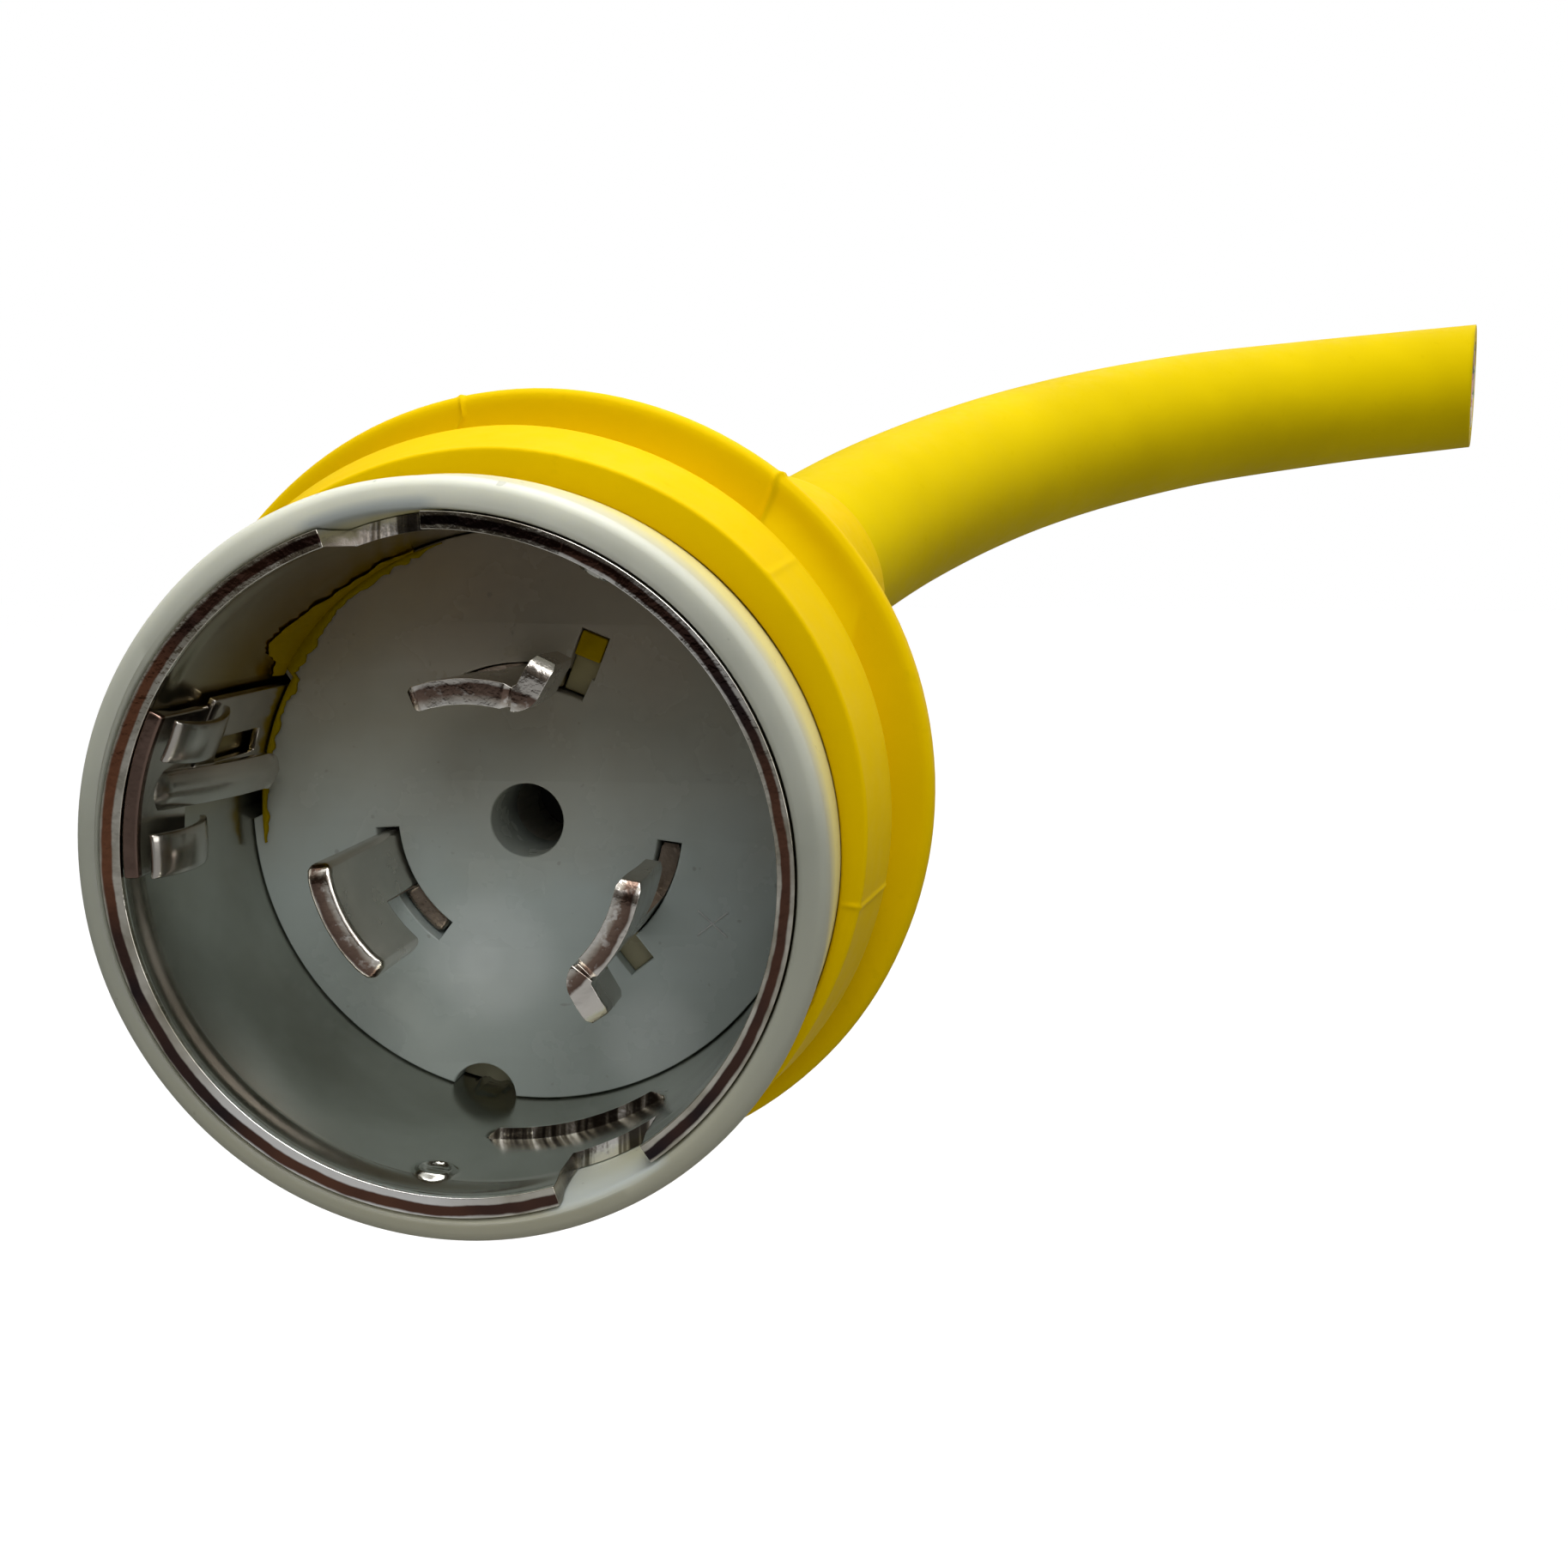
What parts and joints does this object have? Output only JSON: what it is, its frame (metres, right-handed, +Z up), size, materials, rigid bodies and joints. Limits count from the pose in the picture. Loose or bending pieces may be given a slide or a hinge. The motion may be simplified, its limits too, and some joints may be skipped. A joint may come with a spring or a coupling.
{
  "type": "shore power cord",
  "caption": "Yellow moulded locking shore power plug with white barrel, metal liner, curved blades and a short length of bent round cord.",
  "frame": {"origin": "middle of the bounding box in X and Y, at the height of the lowest point; the barrel front rim is centred at (-0.0574, -0.1569, 0.0307) m", "axes": "+Y runs back along the plug axis towards the cord, +X to the right seen from the front, +Z up"},
  "size_m": [0.1782, 0.3138, 0.1005],
  "materials": {
    "white_nylon": "slightly translucent moulded nylon",
    "yellow_vinyl": "matt moulded vinyl with fine texture",
    "nickel_plate": "bright nickel plate with die marks",
    "copper": "bare copper",
    "dark_premould": "matt",
    "insulation_black": "satin",
    "insulation_green": "satin",
    "insulation_white": "satin",
    "insulation_red": "satin",
    "fibre_filler": "fibrous"
  },
  "bodies": {
    "plug": {"barrel_sleeve": "white_nylon", "insulator_disc": "white_nylon", "rear_insulator": "white_nylon", "ground_shell": "nickel_plate", "blade_neutral": "nickel_plate", "blade_hot_a": "nickel_plate", "blade_hot_b": "nickel_plate", "ground_clip": "nickel_plate", "ground_strap": "nickel_plate", "inner_premould": "dark_premould", "moulded_body": "yellow_vinyl", "moulding_flash": "yellow_vinyl", "pocket_plug": "yellow_vinyl", "cord_jacket_root": "yellow_vinyl", "crimp_hot_a": "copper", "crimp_ground": "copper", "crimp_neutral": "copper", "crimp_hot_b": "copper", "lead_black": "insulation_black", "lead_core_black": "copper", "lead_green": "insulation_green", "lead_core_green": "copper", "lead_white": "insulation_white", "lead_core_white": "copper", "lead_red": "insulation_red", "lead_core_red": "copper"},
    "spring_tongue": {"ground_tongue": "nickel_plate"},
    "cord_length_1": {"cord_jacket_1": "yellow_vinyl", "cord_bundle_1": "fibre_filler"},
    "cord_length_2": {"cord_jacket_2": "yellow_vinyl", "cord_bundle_2": "fibre_filler"},
    "cord_length_3": {"cord_jacket_3": "yellow_vinyl", "cord_bundle_3": "fibre_filler"},
    "cord_end": {"cord_jacket_4": "yellow_vinyl", "end_black": "insulation_black", "end_green": "insulation_green", "end_white": "insulation_white", "end_red": "insulation_red", "end_core_black": "copper", "end_core_green": "copper", "end_core_white": "copper", "end_core_red": "copper", "end_filler": "fibre_filler"}
  },
  "joints": [
    {"name": "ground_tongue_flex", "type": "hinge", "parent": "plug", "child": "spring_tongue", "pos_m": [-0.08031, -0.15228, 0.03546], "axis": [0.2045, 0, 0.9789], "range_deg": [0, 4], "stiffness_Nm_per_rad": 0.02},
    {"name": "cord_bend_1_sideways", "type": "hinge", "parent": "plug", "child": "cord_length_1", "pos_m": [-0.05178, -0.0084, 0.04763], "axis": [-0.0668, -0.2384, 0.9689], "range_deg": [-12, 12], "stiffness_Nm_per_rad": 0.4},
    {"name": "cord_bend_2_up_down", "type": "hinge", "parent": "cord_length_1", "child": "cord_length_2", "pos_m": [-0.03104, 0.03839, 0.0616], "axis": [0.8749, -0.4843, 0], "range_deg": [-12, 12], "stiffness_Nm_per_rad": 0.4},
    {"name": "cord_bend_3_sideways", "type": "hinge", "parent": "cord_length_2", "child": "cord_length_3", "pos_m": [-0.00093, 0.08054, 0.07287], "axis": [-0.1256, -0.1356, 0.9828], "range_deg": [-12, 12], "stiffness_Nm_per_rad": 0.4},
    {"name": "cord_bend_4_up_down", "type": "hinge", "parent": "cord_length_3", "child": "cord_end", "pos_m": [0.03801, 0.11571, 0.08079], "axis": [0.5904, -0.8071, 0], "range_deg": [-12, 12], "stiffness_Nm_per_rad": 0.4}
  ]
}
